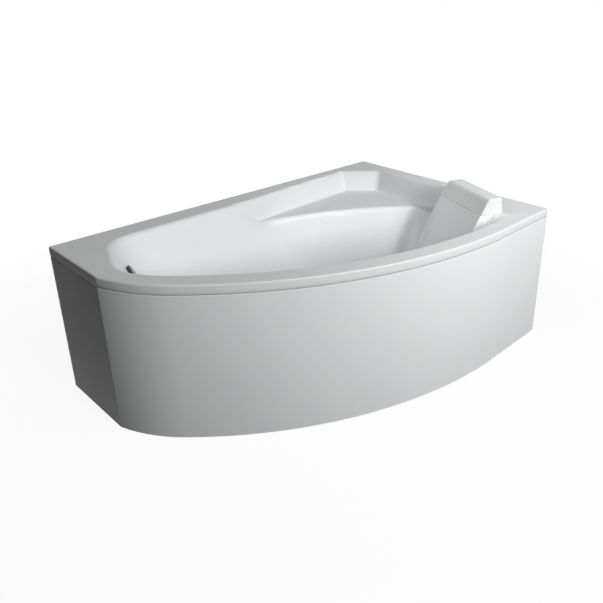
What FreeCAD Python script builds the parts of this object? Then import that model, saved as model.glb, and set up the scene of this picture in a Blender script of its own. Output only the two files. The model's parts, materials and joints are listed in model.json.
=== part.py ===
import FreeCAD, Part
import Sketcher
import math
import os
import re

# Corner bathtub, asymmetric, for a right-hand corner: long straight side to one wall (+Y),
# wide end to the other wall (+X), narrow end free (-X), bowed apron to the room (-Y).
# Frame: origin on the floor under the middle of the footprint, +Z up, millimetres.

doc = FreeCAD.newDocument("corner_bathtub")
sheet = doc.addObject("Spreadsheet::Sheet", "Sizes")

DRIVING_SIZES = [
    # outline of the rim
    ("tub_length", 1600), ("tub_width", 1050), ("narrow_width", 355), ("rim_height", 580),
    ("front_straight", 323), ("front_turn", 45.5), ("front_radius", 1608),
    ("corner_turn", 72), ("corner_radius", 544), ("edge_corner_radius", 9),
    ("shell_wall", 5), ("lip_height", 34), ("rim_edge_bevel", 3),
    # bowl
    ("bowl_depth", 425), ("front_rim_width", 74), ("back_rim_width", 97), ("head_rim_width", 83),
    ("bowl_turn", 20.7), ("back_lean", 23), ("narrow_lean", 28), ("front_lean", 14),
    ("backrest_lean", 33), ("shelf_lean", 15), ("pocket_lean", 14), ("floor_bevel", 32),
    ("shelf_depth", 95), ("ledge_x", -284.2), ("ledge_y", -879.9), ("ledge_radius", 1312.6),
    ("nook_depth", 150), ("hollow_depth", 70),
    # headrest block
    ("rest_x", 660), ("rest_y", -118), ("rest_width", 295), ("rest_height", 64),
    ("rest_depth", 66), ("rest_overhang", 38), ("rest_round", 9), ("rest_gap", 0.4),
    ("peg_radius", 8), ("peg_length", 24), ("peg_clearance", 0.4), ("peg_pitch", 180),
    # board, battens and frame
    ("board_thickness", 18), ("board_edge", 70), ("board_waste_gap", 165),
    ("batten_width", 35), ("batten_height", 18), ("batten_back_length", 1520),
    ("batten_back_y", 480), ("batten_head_length", 860), ("batten_head_x", 738),
    ("batten_head_y", -420), ("batten_front_inset", 27), ("batten_front_width", 30),
    ("batten_front_start", -610), ("batten_front_end", 650), ("batten_front_limit", 190),
    ("tube_side", 30), ("tube_wall", 2), ("post_side", 25), ("cross_height", 72),
    ("cross_foot_x", -560), ("cross_mid_x", 40), ("cross_head_x", 560), ("post_back_y", 497),
    ("cross_foot_start", -108), ("cross_mid_start", -436), ("cross_head_start", -505),
    ("cross_end", 512), ("post_inset", 42),
    ("rail_front_y", -60), ("rail_back_y", 145), ("rail_back_start", -250), ("rail_end", 575),
    # adjustable feet
    ("pad_flats", 50), ("pad_height", 16), ("socket_floor", 6), ("stud_radius", 6), ("stud_top", 118),
    ("nut_flats", 19), ("nut_height", 10), ("thread_clearance", 0.05), ("foot_hole", 13.2),
    ("stud_gap", 0.2),
    # panel
    ("panel_recess", 1), ("panel_wall", 3.5), ("panel_gap", 3), ("panel_flange", 18),
    ("panel_flange_wall", 4), ("panel_bottom", 3), ("panel_end_x", 798), ("panel_end_y", 496),
    ("clip_width", 30), ("clip_height", 40), ("clip_reach", 16), ("clip_sheet", 1.4),
    ("clip_level", 535),
    # waste and overflow
    ("drain_x", -330), ("drain_y", 80), ("drain_hole", 26), ("flange_radius", 35),
    ("flange_neck", 25), ("flange_bore", 21), ("flange_lip", 2), ("flange_low", 130),
    ("grid_arm", 44), ("grid_bar", 3), ("grid_depth", 4), ("grid_hub", 14),
    ("plug_radius", 31), ("plug_height", 4), ("plug_gap", 4), ("stem_side", 6),
    ("stem_low", 118), ("stem_gap", 0.2),
    ("cup_top", 147), ("cup_bore", 28), ("cup_floor", 103), ("cup_low", 97), ("neck_low", 86),
    ("trap_radius", 31), ("trap_low", 30), ("trap_top", 84), ("trap_reach", 58),
    ("trap_cup_flats", 68), ("trap_cup_low", 12), ("trap_nut_flats", 62),
    ("trap_nut_height", 10), ("nut_gap", 0.2),
    ("overflow_along", 56), ("overflow_depth", 76), ("overflow_hole", 24), ("knob_radius", 26),
    ("knob_height", 10), ("knob_stand", 6), ("knob_stem", 5), ("knob_stem_depth", 34),
    ("stem_clearance", 0.05), ("bezel_bore", 23), ("bezel_radius", 30), ("bezel_height", 4),
    ("bezel_gap", 0.3), ("chamber_depth", 40), ("chamber_front", 32), ("chamber_bore", 24),
    ("chamber_floor", 18), ("chamber_socket", 4), ("core_start", 37), ("core_length", 29),
    ("overflow_gasket_depth", 7.9), ("drain_gasket_drop", 3),
    ("drop_radius", 18), ("drop_level", 121), ("drop_bend", 60),
    ("drop_top", 448), ("inlet_reach", 62), ("gasket_bore", 27), ("gasket_radius", 38),
    ("gasket_thickness", 2.8),
    ("pipe_radius", 20), ("pipe_wall", 2), ("pipe_level", 53), ("pipe_end_y", 505),
    ("collar_start", 58.3), ("collar_end", 79), ("outlet_nut_flats", 56), ("drop_start", 24),
]
for row, (alias, number) in enumerate(DRIVING_SIZES, start=1):
    sheet.set("A%d" % row, alias)
    sheet.set("B%d" % row, str(number))
    sheet.setAlias("B%d" % row, alias)
doc.recompute()

ALIASES = sorted((alias for alias, number in DRIVING_SIZES), key=len, reverse=True)
ALIAS_PATTERN = re.compile(r"\b(" + "|".join(ALIASES) + r")\b")


def linked(text):
    """An expression on the sheet, written with bare aliases."""
    return ALIAS_PATTERN.sub(r"Sizes.\1", str(text))


def size(text):
    """The number that such an expression gives now."""
    return float(sheet.evalExpression(linked(text)))


def vector(x, y, z=0.0):
    return FreeCAD.Vector(x, y, z)


# ---------------------------------------------------------------- plan geometry

LEFT = -size("tub_length") / 2
RIGHT = size("tub_length") / 2
WALL = size("tub_width") / 2
FRONT = -size("tub_width") / 2
RIM = size("rim_height")
FLOOR = RIM - size("bowl_depth")
UNDERSIDE = FLOOR - size("shell_wall")
SKEW = -math.radians(size("bowl_turn"))
ARC_SLACK = 10.0  # keeps a short straight between the two front arcs
FACET_TURN = 0.22  # turn of one straight run on the moulding's hidden outer side
NARROW_WALL = (-658, 341, 248.5)  # a rim point of the bowl's narrow wall, and its heading


def plan_side(x, y, heading, shift=0.0):
    """A straight side through (x, y); the plan lies on its left; shift moves it inwards."""
    angle = math.radians(heading)
    return (x - shift * math.sin(angle), y + shift * math.cos(angle), angle)


def crossing(first, second):
    """The corner where two sides meet."""
    x1, y1, a = first
    x2, y2, b = second
    reach = ((x2 - x1) * math.sin(b) - (y2 - y1) * math.cos(b)) / math.sin(b - a)
    return vector(x1 + reach * math.cos(a), y1 + reach * math.sin(a))


def fitted_radii(sides, radii):
    """Radii drawn in where two neighbouring arcs would overrun the side between them."""
    count = len(sides)
    corners = [crossing(sides[i], sides[(i + 1) % count]) for i in range(count)]
    reach = []
    for i in range(count):
        turn = math.remainder(sides[(i + 1) % count][2] - sides[i][2], 2 * math.pi)
        reach.append(radii[i] * math.tan(abs(turn) / 2))
    share = [1.0] * count
    for i in range(count):
        run = (corners[i] - corners[i - 1]).Length - 0.5
        allowed = min(1.0, run / (reach[i] + reach[i - 1]))
        share[i] = min(share[i], allowed)
        share[i - 1] = min(share[i - 1], allowed)
    return [radius * part for radius, part in zip(radii, share)]


def rounded_wire(sides, wanted_radii, height):
    """A closed wire at one height: sides joined by tangent arcs, one radius after each side."""
    lift = vector(0, 0, height)
    radii = fitted_radii(sides, wanted_radii)
    arcs = []
    for number, before in enumerate(sides):
        after = sides[(number + 1) % len(sides)]
        corner = crossing(before, after)
        turn = math.remainder(after[2] - before[2], 2 * math.pi)
        tangent = radii[number] * math.tan(abs(turn) / 2)
        start = corner - vector(math.cos(before[2]), math.sin(before[2])) * tangent
        end = corner + vector(math.cos(after[2]), math.sin(after[2])) * tangent
        inward = vector(-math.sin(before[2]), math.cos(before[2])) * math.copysign(1, turn)
        centre = start + inward * radii[number]
        outward = (corner - centre).normalize()
        middle = centre + outward * radii[number]
        arcs.append((start + lift, middle + lift, end + lift))
    edges = []
    for number, (start, middle, end) in enumerate(arcs):
        following = arcs[(number + 1) % len(arcs)][0]
        edges.append(Part.Arc(start, middle, end).toShape())
        edges.append(Part.LineSegment(end, following).toShape())
    return Part.Wire(edges)


def facet_counts(sides):
    """How many straight runs stand for the arc after each side."""
    turns = [
        math.remainder(sides[(i + 1) % len(sides)][2] - side[2], 2 * math.pi)
        for i, side in enumerate(sides)
    ]
    return [max(1, round(abs(turn) / FACET_TURN)) for turn in turns]


def faceted_wire(sides, wanted_radii, height, counts):
    """The same plan with each arc as a few straight runs that lie just outside it."""
    radii = fitted_radii(sides, wanted_radii)
    points = []
    for number, before in enumerate(sides):
        after = sides[(number + 1) % len(sides)]
        corner = crossing(before, after)
        turn = math.remainder(after[2] - before[2], 2 * math.pi)
        runs = counts[number]
        inward = before[2] + math.copysign(math.pi / 2, turn)
        tangent = radii[number] * math.tan(abs(turn) / 2)
        start = corner - vector(math.cos(before[2]), math.sin(before[2])) * tangent
        centre = start + vector(math.cos(inward), math.sin(inward)) * radii[number]
        reach = radii[number] / math.cos(turn / runs / 2)
        for run in range(runs):
            angle = inward + math.pi + turn * (run + 0.5) / runs
            points.append(centre + vector(math.cos(angle), math.sin(angle)) * reach)
    lift = vector(0, 0, height)
    return Part.makePolygon([point + lift for point in points + points[:1]])


def front_turning_point():
    """Where the long front arc hands over to the short one at the narrow end."""
    turn = math.radians(size("front_turn"))
    radius = size("front_radius")
    x = RIGHT - size("front_straight") - radius * math.sin(turn)
    return x, FRONT + radius * (1 - math.cos(turn))


def outline_sides(inset, wall_inset):
    """Rim outline, anticlockwise from the narrow end; the last two are wall sides."""
    x, y = front_turning_point()
    return [
        plan_side(LEFT, 0, 270, inset),
        plan_side(LEFT, WALL - size("narrow_width"), -size("corner_turn"), inset),
        plan_side(x, y, -size("front_turn"), inset),
        plan_side(0, FRONT, 0, inset),
        plan_side(RIGHT, 0, 90, wall_inset),
        plan_side(0, WALL, 180, wall_inset),
    ]


def outline_wire(inset, height, wall_inset=None, draw=rounded_wire):
    """The rim outline moved inwards; its two wall sides can be moved by another amount."""
    corner = max(size("edge_corner_radius") - inset, 1.0)
    radii = [
        corner,
        size("corner_radius") - ARC_SLACK - inset,
        size("front_radius") - ARC_SLACK - inset,
        corner,
        corner,
        corner,
    ]
    sides = outline_sides(inset, inset if wall_inset is None else wall_inset)
    return draw(sides, radii, height)


def point_on_front(x, inset):
    """The front curve's point at x, moved inwards, and the heading of the curve there."""
    half_turn = math.radians(size("front_turn")) / 2
    start = RIGHT - size("front_straight") - ARC_SLACK * math.tan(half_turn)
    if x > start:
        return x, FRONT + inset, 0.0
    radius = size("front_radius") - ARC_SLACK
    angle = math.asin((start - x) / radius)
    y = FRONT + radius * (1 - math.cos(angle))
    return x + inset * math.sin(angle), y + inset * math.cos(angle), -math.degrees(angle)


def skewed(along, across):
    """A plan point given along and across the bowl's own axis, from the headrest's corner."""
    x = size("rest_x") + along * math.cos(SKEW) - across * math.sin(SKEW)
    y = size("rest_y") + along * math.sin(SKEW) + across * math.cos(SKEW)
    return x, y


# ---------------------------------------------------------------- building helpers


def feature(label, shape):
    item = doc.addObject("Part::Feature", label)
    item.Shape = shape
    return item


def primitive(kind, label, bindings, base=("0", "0", "0"), rotation=None):
    """A Part primitive whose sizes and place are bound to the sheet."""
    item = doc.addObject(kind, label)
    for name, text in bindings.items():
        item.setExpression(name, linked(text))
    if rotation is not None:
        item.Placement = FreeCAD.Placement(vector(0, 0), rotation)
    for axis, text in zip("xyz", base):
        item.setExpression(".Placement.Base." + axis, linked(text))
    return item


def placed(kind, label, bindings, place):
    """A Part primitive with bound sizes at a place that is worked out here."""
    item = doc.addObject(kind, label)
    for name, text in bindings.items():
        item.setExpression(name, linked(text))
    item.Placement = place
    return item


def box(label, length, width, height, base, rotation=None):
    bindings = {"Length": length, "Width": width, "Height": height}
    return primitive("Part::Box", label, bindings, base, rotation)


def cylinder(label, radius, height, base, rotation=None):
    return primitive("Part::Cylinder", label, {"Radius": radius, "Height": height}, base, rotation)


def cut(label, base, tool):
    item = doc.addObject("Part::Cut", label)
    item.Base = base
    item.Tool = tool
    return item


def fuse(label, pieces):
    item = doc.addObject("Part::MultiFuse", label)
    item.Shapes = pieces
    return item


def common(label, first, second):
    item = doc.addObject("Part::MultiCommon", label)
    item.Shapes = [first, second]
    return item


def group(label, pieces):
    """Separate solids kept in one sub-part, for identical fasteners."""
    item = doc.addObject("Part::Compound", label)
    item.Links = pieces
    return item


def extrusion(label, wire, height):
    """A plan wire padded straight up."""
    profile = feature(label + "_outline", wire)
    item = doc.addObject("Part::Extrusion", label)
    item.Base = profile
    item.Dir = vector(0, 0, 1)
    item.Solid = True
    item.LengthFwd = height
    return item


def loft(label, wires):
    """A solid with straight walls from wire to wire."""
    item = doc.addObject("Part::Loft", label)
    item.Sections = [feature("%s_section_%d" % (label, i), w) for i, w in enumerate(wires)]
    item.Solid = True
    item.Ruled = True
    return item


def bevelled(label, base, choose, width):
    """Bevels every edge of base that choose() picks."""
    doc.recompute()
    edges = [i for i, edge in enumerate(base.Shape.Edges, start=1) if choose(edge, base.Shape)]
    item = doc.addObject("Part::Chamfer", label)
    item.Base = base
    item.Edges = [(i, width, width) for i in edges]
    return item


def plane_of(body, role):
    return [f for f in body.Origin.OriginFeatures if f.Role == role][0]


def draw_profile(body, role, corners):
    """A closed sketch of straight lines, each corner held by two bound distances."""
    sketch = body.newObject("Sketcher::SketchObject", body.Name + "_profile")
    sketch.AttachmentSupport = [(plane_of(body, role), "")]
    sketch.MapMode = "FlatFace"
    places = [vector(size(across), size(up)) for across, up in corners]
    for number, place in enumerate(places):
        sketch.addGeometry(Part.LineSegment(place, places[(number + 1) % len(places)]), False)
    for number, (across, up) in enumerate(corners):
        previous = (number - 1) % len(corners)
        sketch.addConstraint(Sketcher.Constraint("Coincident", previous, 2, number, 1))
        for kind, axis, text in (("DistanceX", -2, across), ("DistanceY", -1, up)):
            if size(text) == 0:
                sketch.addConstraint(Sketcher.Constraint("PointOnObject", number, 1, axis))
                continue
            index = sketch.addConstraint(
                Sketcher.Constraint(kind, -1, 1, number, 1, size(text))
            )
            sketch.setExpression("Constraints[%d]" % index, linked(text))
    return sketch


def turned(label, corners, place=None):
    """A body turned about its own Z from a profile of (radius, height) corners."""
    body = doc.addObject("PartDesign::Body", label)
    sketch = draw_profile(body, "XZ_Plane", corners)
    turn = body.newObject("PartDesign::Revolution", label + "_turned")
    turn.Profile = sketch
    turn.ReferenceAxis = (sketch, ["V_Axis"])
    turn.Angle = 360
    body.Tip = turn
    if place is not None:
        body.Placement = place
    return body


def regular(body, sides, flats, name):
    """A regular polygon sketch on the body's base plane, its width across flats bound."""
    sketch = body.newObject("Sketcher::SketchObject", body.Name + name)
    sketch.AttachmentSupport = [(plane_of(body, "XY_Plane"), "")]
    sketch.MapMode = "FlatFace"
    reach = size(flats) / 2 / math.cos(math.pi / sides)
    places = []
    for number in range(sides):
        angle = 2 * math.pi * number / sides
        places.append(vector(reach * math.cos(angle), reach * math.sin(angle)))
    for number in range(sides):
        after = places[(number + 1) % sides]
        sketch.addGeometry(Part.LineSegment(places[number], after), False)
    rim = sketch.addGeometry(Part.Circle(vector(0, 0), vector(0, 0, 1), reach), True)
    for number in range(sides):
        sketch.addConstraint(
            Sketcher.Constraint("Coincident", number, 2, (number + 1) % sides, 1)
        )
        sketch.addConstraint(Sketcher.Constraint("PointOnObject", number, 1, rim))
        if number:
            sketch.addConstraint(Sketcher.Constraint("Equal", 0, number))
    sketch.addConstraint(Sketcher.Constraint("Coincident", rim, 3, -1, 1))
    sketch.addConstraint(Sketcher.Constraint("PointOnObject", 0, 1, -1))
    index = sketch.addConstraint(Sketcher.Constraint("Radius", rim, reach))
    half_turn = 180 / sides
    bound = "(%s) / 2 / cos(%s deg)" % (flats, half_turn)
    sketch.setExpression("Constraints[%d]" % index, linked(bound))
    return sketch


def prism(label, sides, flats, height, place):
    """A regular prism standing on its place."""
    body = doc.addObject("PartDesign::Body", label)
    pad = body.newObject("PartDesign::Pad", label + "_pad")
    pad.Profile = regular(body, sides, flats, "_outline")
    pad.setExpression("Length", linked(height))
    body.Tip = pad
    body.Placement = place
    return body


def bored(body, height, opening, depth):
    """Cuts a sketched opening down from the top of a prism."""
    opening.setExpression(".AttachmentOffset.Base.z", linked(height))
    hole = body.newObject("PartDesign::Pocket", body.Name + "_hole")
    hole.Profile = opening
    hole.setExpression("Length", linked(depth))
    body.Tip = hole
    return body


def nut(label, flats, height, bore, place):
    """A hexagon nut with a plain round bore."""
    body = prism(label, 6, flats, height, place)
    opening = body.newObject("Sketcher::SketchObject", label + "_bore")
    opening.AttachmentSupport = [(plane_of(body, "XY_Plane"), "")]
    opening.MapMode = "FlatFace"
    opening.addGeometry(Part.Circle(vector(0, 0), vector(0, 0, 1), size(bore)), False)
    opening.addConstraint(Sketcher.Constraint("Coincident", 0, 3, -1, 1))
    index = opening.addConstraint(Sketcher.Constraint("Radius", 0, size(bore)))
    opening.setExpression("Constraints[%d]" % index, linked(bore))
    return bored(body, height, opening, height + " + 1")


def at(x, y, z=0.0, rotation=None):
    return FreeCAD.Placement(vector(x, y, z), rotation or FreeCAD.Rotation())


# ---------------------------------------------------------------- tub shell


def slope(depth, lean):
    return depth * math.tan(math.radians(size(lean)))


def wire_for(grow):
    """Draws smooth plans for the inside of the moulding, faceted ones for its outside."""
    if not grow:
        return rounded_wire
    counts = []

    def draw(sides, radii, height):
        if not counts:
            counts.extend(facet_counts(sides))
        return faceted_wire(sides, radii, height, counts)

    return draw


def ledge_sides(depth, inset, backrest, back):
    """Tangents to the shelf's bowed edge where it meets the backrest and the back wall."""
    fall = slope(depth - size("shelf_depth"), "shelf_lean")
    radius = size("ledge_radius") - fall - inset
    centre_x, centre_y = size("ledge_x"), size("ledge_y")
    sides = []
    for (x, y, angle), sense in ((backrest, 1), (back, -1)):
        along = (centre_x - x) * math.cos(angle) + (centre_y - y) * math.sin(angle)
        off = (centre_y - y) * math.cos(angle) - (centre_x - x) * math.sin(angle)
        run = along + sense * math.sqrt(radius ** 2 - off ** 2)
        touch_x, touch_y = x + run * math.cos(angle), y + run * math.sin(angle)
        around = math.degrees(math.atan2(touch_y - centre_y, touch_x - centre_x))
        sides.append(plan_side(touch_x, touch_y, around + 90))
    return sides, radius


def bowl_levels(grow, top):
    """Depth and inset of each plan of the bowl: rim, foot of the walls, floor."""
    bottom = size("bowl_depth") + grow
    bevel = size("floor_bevel")
    return [(top, -grow), (bottom - bevel, -grow), (bottom, bevel - grow)]


def bowl_ends(depth, inset):
    """The bowl's back wall and its backrest, as plan sides at one depth."""
    back = plan_side(0, WALL - size("back_rim_width"), 180, slope(depth, "back_lean") + inset)
    rest_x, rest_y = skewed(-size("rest_overhang"), 0)
    backrest = plan_side(rest_x, rest_y, 69.3, slope(depth, "backrest_lean") + inset)
    return back, backrest


def bowl_prism(label, grow, top):
    """The bowl's straight walls and bevelled floor edge; grow thickens it all round."""
    wires = []
    draw = wire_for(grow)
    for depth, inset in bowl_levels(grow, top):
        share = depth / size("bowl_depth")
        back, backrest = bowl_ends(depth, inset)
        ledge, radius = ledge_sides(depth, inset, backrest, back)
        sides = [
            back,
            plan_side(*NARROW_WALL, slope(depth, "narrow_lean") + inset),
            plan_side(0, 1.3 * FRONT, -40, 0),
            plan_side(0, 1.3 * FRONT, 0, 0),
            backrest,
        ] + ledge
        radii = [45 + 65 * share, 5, 5, 5, 25 + 95 * share, radius, 60]
        wires.append(draw(sides, radii, RIM - depth))
    return loft(label, wires)


def front_prism(label, grow, top):
    """The bowl's wall along the bowed front, parallel to the rim outline."""
    wires = []
    draw = wire_for(grow)
    for depth, inset in bowl_levels(grow, top):
        reach = size("front_rim_width") + slope(depth, "front_lean") + inset
        wires.append(outline_wire(reach, RIM - depth, draw=draw))
    return loft(label, wires)


def bowl(label, grow, top):
    return common(
        label,
        bowl_prism(label + "_walls", grow, top),
        front_prism(label + "_front", grow, top),
    )


def pocket(label, grow, sides_at, radii, top, depth):
    """A lofted pocket; sides_at gives its sides at a depth."""
    draw = wire_for(grow)
    levels = (top, depth + grow)
    return loft(label, [draw(sides_at(level), radii, RIM - level) for level in levels])


def shelf_sides(grow):
    """The shelf in the corner: back, chamfered corner and head walls above a flat ledge."""
    inner_x = RIGHT - size("head_rim_width")

    def sides(depth):
        fall = slope(depth, "pocket_lean") - grow
        left_x, left_y = skewed(0, 3)
        return [
            plan_side(inner_x, 0, 90, fall),
            plan_side(590, 466, 136.2, fall),
            plan_side(245, 451, 182.5, fall),
            plan_side(-45, 426, 184.9, fall),
            plan_side(-45, 428, 240, slope(depth, "backrest_lean") - grow),
            plan_side(0, 200, 330.3, -grow),
            plan_side(left_x, left_y, 339.3, 0.05 * depth - grow),
        ]

    return sides


def nook_sides(grow):
    """The deep nook between the shelf and the backrest's raised pad."""
    inner_x = RIGHT - size("head_rim_width")

    def sides(depth):
        left_x, left_y = skewed(0, 3)
        return [
            plan_side(inner_x, 0, 90, 0.86 * depth - grow),
            plan_side(0, 36, 180, 0.12 * depth - grow),
            plan_side(520, -60, 249.3, -grow),
            plan_side(left_x, left_y, 339.3, 0.05 * depth - grow),
        ]

    return sides


def hollow_sides(grow):
    """The small hollow between the backrest's raised pad and the front rim."""

    def sides(depth):
        end_x, end_y = skewed(30, 0)
        right_x, right_y = skewed(0, 3 - size("rest_width"))
        inner_x, inner_y = skewed(-120, 0)
        front = FRONT + size("front_rim_width")
        return [
            plan_side(0, front, 0, slope(depth, "front_lean") - grow),
            plan_side(end_x, end_y, 69.3, 1.25 * depth - grow),
            plan_side(right_x, right_y, 159.3, 0.1 * depth - grow),
            plan_side(inner_x, inner_y, 249.3, -grow),
        ]

    return sides


def bowl_forms(label, grow, top):
    """Every form that the tub's inside is made of, as solids to add or take away."""
    return [
        bowl(label + "_bowl", grow, top),
        pocket(label + "_shelf", grow, shelf_sides(grow), [28, 28, 300, 20, 8, 8, 10],
               top, size("shelf_depth")),
        pocket(label + "_nook", grow, nook_sides(grow), [12, 12, 5, 10],
               top, size("nook_depth")),
        pocket(label + "_hollow", grow, hollow_sides(grow), [18, 16, 5, 5],
               top, size("hollow_depth")),
    ]


def overflow_place():
    """Overflow hole: on the narrow wall, Z out of the wall into the bowl."""
    lean = math.radians(size("narrow_lean"))
    down = size("overflow_depth")
    wall_x, wall_y, heading = NARROW_WALL
    heading = math.radians(heading)
    along = vector(math.cos(heading), math.sin(heading))
    inward = vector(-along.y, along.x)
    centre = (
        vector(wall_x, wall_y, RIM - down)
        + along * size("overflow_along")
        + inward * slope(down, "narrow_lean")
    )
    normal = inward * math.cos(lean) + vector(0, 0, math.sin(lean))
    return FreeCAD.Placement(centre, FreeCAD.Rotation(vector(0, 0, 1), normal))


OVERFLOW = overflow_place()


def is_top_edge(edge, shape):
    bounds = edge.BoundBox
    return bounds.ZMin > shape.BoundBox.ZMax - 0.01


def make_shell():
    wall = size("shell_wall")
    lip = size("lip_height")
    slab = extrusion("deck_slab", outline_wire(0, RIM - lip), lip)
    deck = bevelled("deck", slab, is_top_edge, size("rim_edge_bevel"))
    inside = extrusion("deck_inside", outline_wire(wall, RIM - lip - wall), lip)
    tray = cut("deck_tray", deck, inside)
    solid = fuse("shell_solid", [tray] + bowl_forms("outer", wall, 1.0))
    drain_hole = cylinder(
        "shell_drain_hole", "drain_hole", "60",
        ("drain_x", "drain_y", "rim_height - bowl_depth - 30"),
    )
    overflow_hole = placed(
        "Part::Cylinder", "shell_overflow_hole", {"Radius": "overflow_hole", "Height": "60"},
        OVERFLOW.multiply(at(0, 0, -30)),
    )
    peg_holes = []
    for number, place in enumerate(peg_places(), start=1):
        hole = cylinder(
            "shell_peg_hole_%d" % number, "peg_radius + peg_clearance", "40",
            (str(place[0]), str(place[1]), "rim_height - 20"),
        )
        peg_holes.append(hole)
    void = fuse(
        "shell_void", bowl_forms("inner", 0.0, -3.0) + [drain_hole, overflow_hole] + peg_holes
    )
    return cut("tub_shell", solid, void)


def peg_places():
    middle = 3 - size("rest_width") / 2
    half = size("peg_pitch") / 2
    return [skewed(30, middle - half), skewed(30, middle + half)]


# ---------------------------------------------------------------- board, battens, frame


def make_board():
    """Stiffening board bonded under the bowl's flat floor, clear of the waste."""
    low = UNDERSIDE - size("board_thickness")
    edge = size("board_edge")
    inset = size("front_rim_width") + slope(size("bowl_depth"), "front_lean") + edge
    walls = extrusion("board_walls", plan_floor_wire(edge, low), size("board_thickness"))
    front = extrusion("board_front", outline_wire(inset, low), size("board_thickness"))
    return common("base_board", walls, front)


def plan_floor_wire(inset, height):
    """The straight walls' plan at floor level, moved inwards, more so at the waste."""
    depth = size("bowl_depth")
    waste_inset = inset + size("board_waste_gap")
    back, backrest = bowl_ends(depth, inset)
    ledge, radius = ledge_sides(depth, inset, backrest, back)
    sides = [
        back,
        plan_side(*NARROW_WALL, slope(depth, "narrow_lean") + waste_inset),
        plan_side(0, FRONT, 0, 0),
        backrest,
    ] + ledge
    return rounded_wire(sides, [20, 10, 10, 60, radius, 40], height)


def make_battens():
    level = "rim_height - shell_wall - batten_height"
    back = box(
        "batten_back", "batten_back_length", "batten_width", "batten_height",
        ("-batten_back_length / 2", "batten_back_y", level),
    )
    head = box(
        "batten_head", "batten_width", "batten_head_length", "batten_height",
        ("batten_head_x", "batten_head_y", level),
    )
    low = size(level)
    height = size("batten_height")
    outer = size("batten_front_inset")
    inner = outer + size("batten_front_width")
    ring = cut(
        "batten_front_ring",
        extrusion("batten_front_outer", outline_wire(outer, low), height),
        extrusion("batten_front_inner", outline_wire(inner, low - 1), height + 2),
    )
    keep = box(
        "batten_front_keep", "batten_front_end - batten_front_start",
        "tub_width / 2 + 5 + batten_front_limit", "batten_height + 2",
        ("batten_front_start", "-(tub_width / 2 + 5)", level + " - 1"),
    )
    front = common("batten_front", ring, keep)
    return [back, head, front]


def hollow_bar(label, length, width, height, base, along):
    """A square tube: the inner box runs through along one axis."""
    outer = box(label + "_outer", length, width, height, base)
    sizes = [length, width, height]
    start = list(base)
    for axis in range(3):
        if axis == along:
            sizes[axis] = "%s + 2" % sizes[axis]
            start[axis] = "%s - 1" % start[axis]
        else:
            sizes[axis] = "%s - 2 * tube_wall" % sizes[axis]
            start[axis] = "%s + tube_wall" % start[axis]
    inner = box(label + "_inner", sizes[0], sizes[1], sizes[2], start)
    return cut(label, outer, inner)


FOOT_PLACES = [
    ("cross_foot_x", "400"),
    ("cross_foot_x", "-30"),
    ("cross_mid_x", "-330"),
    ("cross_head_x", "-400"),
    ("cross_head_x", "400"),
]


def cross_bar(label, x, low_y):
    """A bar across the tub, punched square for the studs of its feet."""
    bar = hollow_bar(
        label + "_bar", "tube_side", "cross_end - %s" % low_y, "tube_side",
        ("%s - tube_side / 2" % x, low_y, "cross_height"), 1,
    )
    holes = []
    for number, (foot_x, foot_y) in enumerate(FOOT_PLACES, start=1):
        if foot_x != x:
            continue
        start = (foot_x + " - foot_hole / 2", foot_y + " - foot_hole / 2", "cross_height - 10")
        holes.append(
            box("%s_stud_hole_%d" % (label, number), "foot_hole", "foot_hole", "60", start)
        )
    tool = holes[0] if len(holes) == 1 else fuse(label + "_stud_holes", holes)
    return cut(label, bar, tool)


def make_frame():
    level = "cross_height + tube_side"
    parts = [
        cross_bar("cross_bar_foot", "cross_foot_x", "cross_foot_start"),
        cross_bar("cross_bar_middle", "cross_mid_x", "cross_mid_start"),
        cross_bar("cross_bar_head", "cross_head_x", "cross_head_start"),
        hollow_bar(
            "rail_front", "rail_end - cross_foot_x + tube_side / 2", "tube_side", "tube_side",
            ("cross_foot_x - tube_side / 2", "rail_front_y - tube_side / 2", level), 0,
        ),
        hollow_bar(
            "rail_back", "rail_end - rail_back_start", "tube_side", "tube_side",
            ("rail_back_start", "rail_back_y - tube_side / 2", level), 0,
        ),
        hollow_bar(
            "rail_header", "tube_side", "rail_back_y - rail_front_y", "tube_side",
            ("rail_back_start - tube_side", "rail_front_y + tube_side / 2", level), 1,
        ),
    ]
    top = "rim_height - shell_wall - batten_height"
    height = "%s - (%s)" % (top, level)
    fronts = [("foot", "cross_foot_x"), ("middle", "cross_mid_x"), ("head", "cross_head_x")]
    for name, x in fronts:
        front_x, front_y, heading = point_on_front(size(x), size("post_inset"))
        front_y += math.tan(math.radians(-heading)) * (front_x - size(x))
        for end, y in (("back", size("post_back_y")), ("front", front_y)):
            start = ("%s - post_side / 2" % x, "%.1f - post_side / 2" % y, level)
            parts.append(
                hollow_bar("post_%s_%s" % (name, end), "post_side", "post_side", height, start, 2)
            )
    return parts


# ---------------------------------------------------------------- feet


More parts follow.
